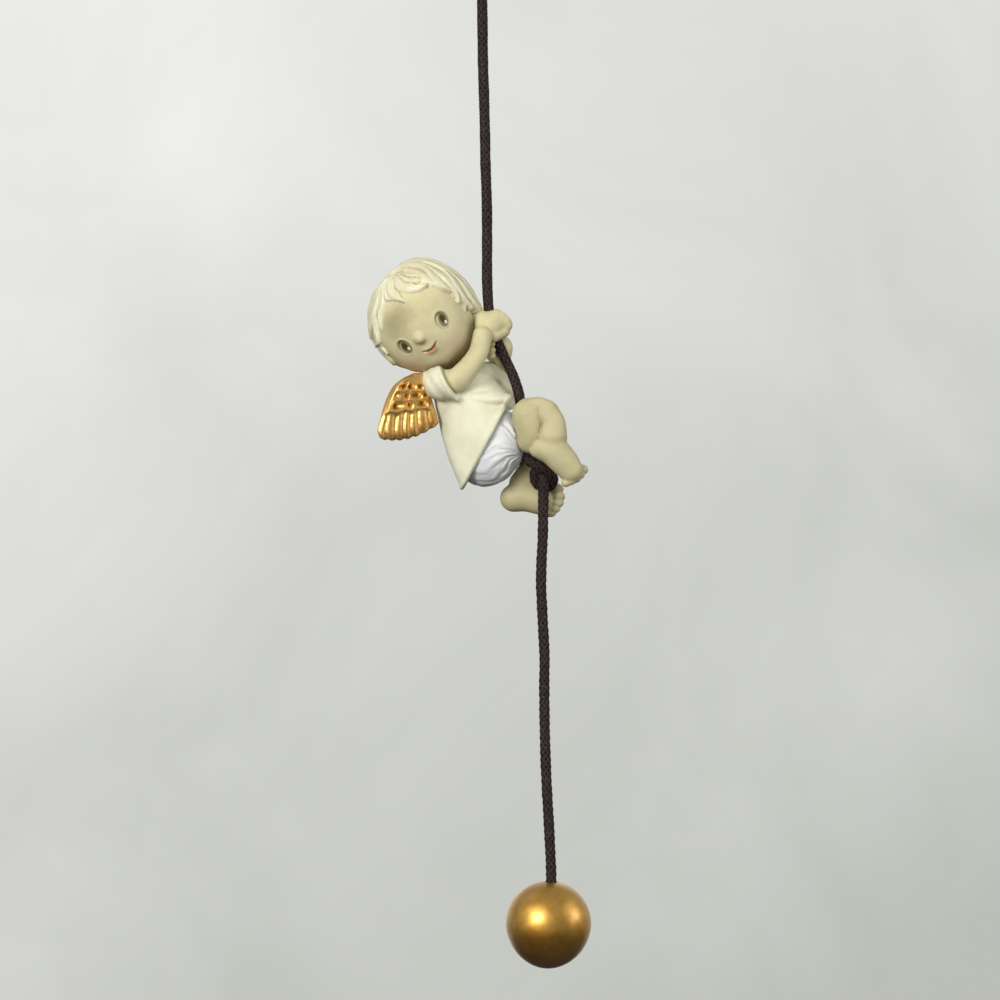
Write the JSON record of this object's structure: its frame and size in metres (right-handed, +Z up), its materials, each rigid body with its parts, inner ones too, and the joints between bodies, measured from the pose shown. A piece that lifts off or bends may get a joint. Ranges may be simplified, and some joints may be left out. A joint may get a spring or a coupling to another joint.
{
  "type": "hanging angel ornament",
  "caption": "Small painted resin cherub with gold wings that climbs a braided hanging cord, with a stop knot under its feet and a gold bead on the cord's lower end.",
  "frame": {"origin": "top of the hanging loop, where a hook or a twig holds it", "axes": "+Z up along the cord, +X the way the cherub's body faces, -Y the side that is seen"},
  "size_m": [0.0425, 0.0211, 0.2189],
  "materials": {
    "cord": "dark brown waxed braided cotton",
    "bead_gold": "satin gold paint on a turned wooden bead",
    "skin": "matt flesh paint on cast resin",
    "hair": "matt cream paint on cast resin",
    "gown": "matt cream paint on cast resin",
    "nappy": "matt white paint on cast resin",
    "wing_gold": "gold leaf paint on cast resin"
  },
  "bodies": {
    "hanger": {"hang_loop": "cord", "loop_knot": "cord"},
    "upper_link_a": {"cord_upper_a": "cord"},
    "upper_link_b": {"cord_upper_b": "cord"},
    "climber": {"cord_middle": "cord", "stop_knot": "cord", "head": "skin", "hair": "hair", "gown": "gown", "nappy": "nappy", "right_arm": "skin", "left_arm": "skin", "right_leg": "skin", "left_leg": "skin", "right_wing": "wing_gold", "left_wing": "wing_gold"},
    "tail_link_a": {"cord_lower_a": "cord"},
    "tail_link_b": {"cord_lower_b": "cord"},
    "bead": {"bead": "bead_gold"}
  },
  "joints": [
    {"name": "loop_sway", "type": "hinge", "parent": "hanger", "child": "upper_link_a", "pos_m": [0, 0, -0.03834], "axis": [0, 1, 0], "range_deg": [-60, 60]},
    {"name": "cord_fold", "type": "hinge", "parent": "upper_link_a", "child": "upper_link_b", "pos_m": [0.0006, 0, -0.06614], "axis": [1, 0, 0], "range_deg": [-60, 60]},
    {"name": "figure_turn", "type": "hinge", "parent": "upper_link_b", "child": "climber", "pos_m": [0.0017, 0, -0.09774], "axis": [-0.0348, 0, 0.9994], "continuous": true},
    {"name": "tail_sway", "type": "hinge", "parent": "climber", "child": "tail_link_a", "pos_m": [0.01152, 0, -0.13382], "axis": [0, 1, 0], "range_deg": [-45, 45]},
    {"name": "tail_fold", "type": "hinge", "parent": "tail_link_a", "child": "tail_link_b", "pos_m": [0.0117, 0, -0.16714], "axis": [1, 0, 0], "range_deg": [-60, 60]},
    {"name": "bead_turn", "type": "hinge", "parent": "tail_link_b", "child": "bead", "pos_m": [0.013, 0, -0.20344], "axis": [0.0628, 0, 0.998], "continuous": true}
  ]
}
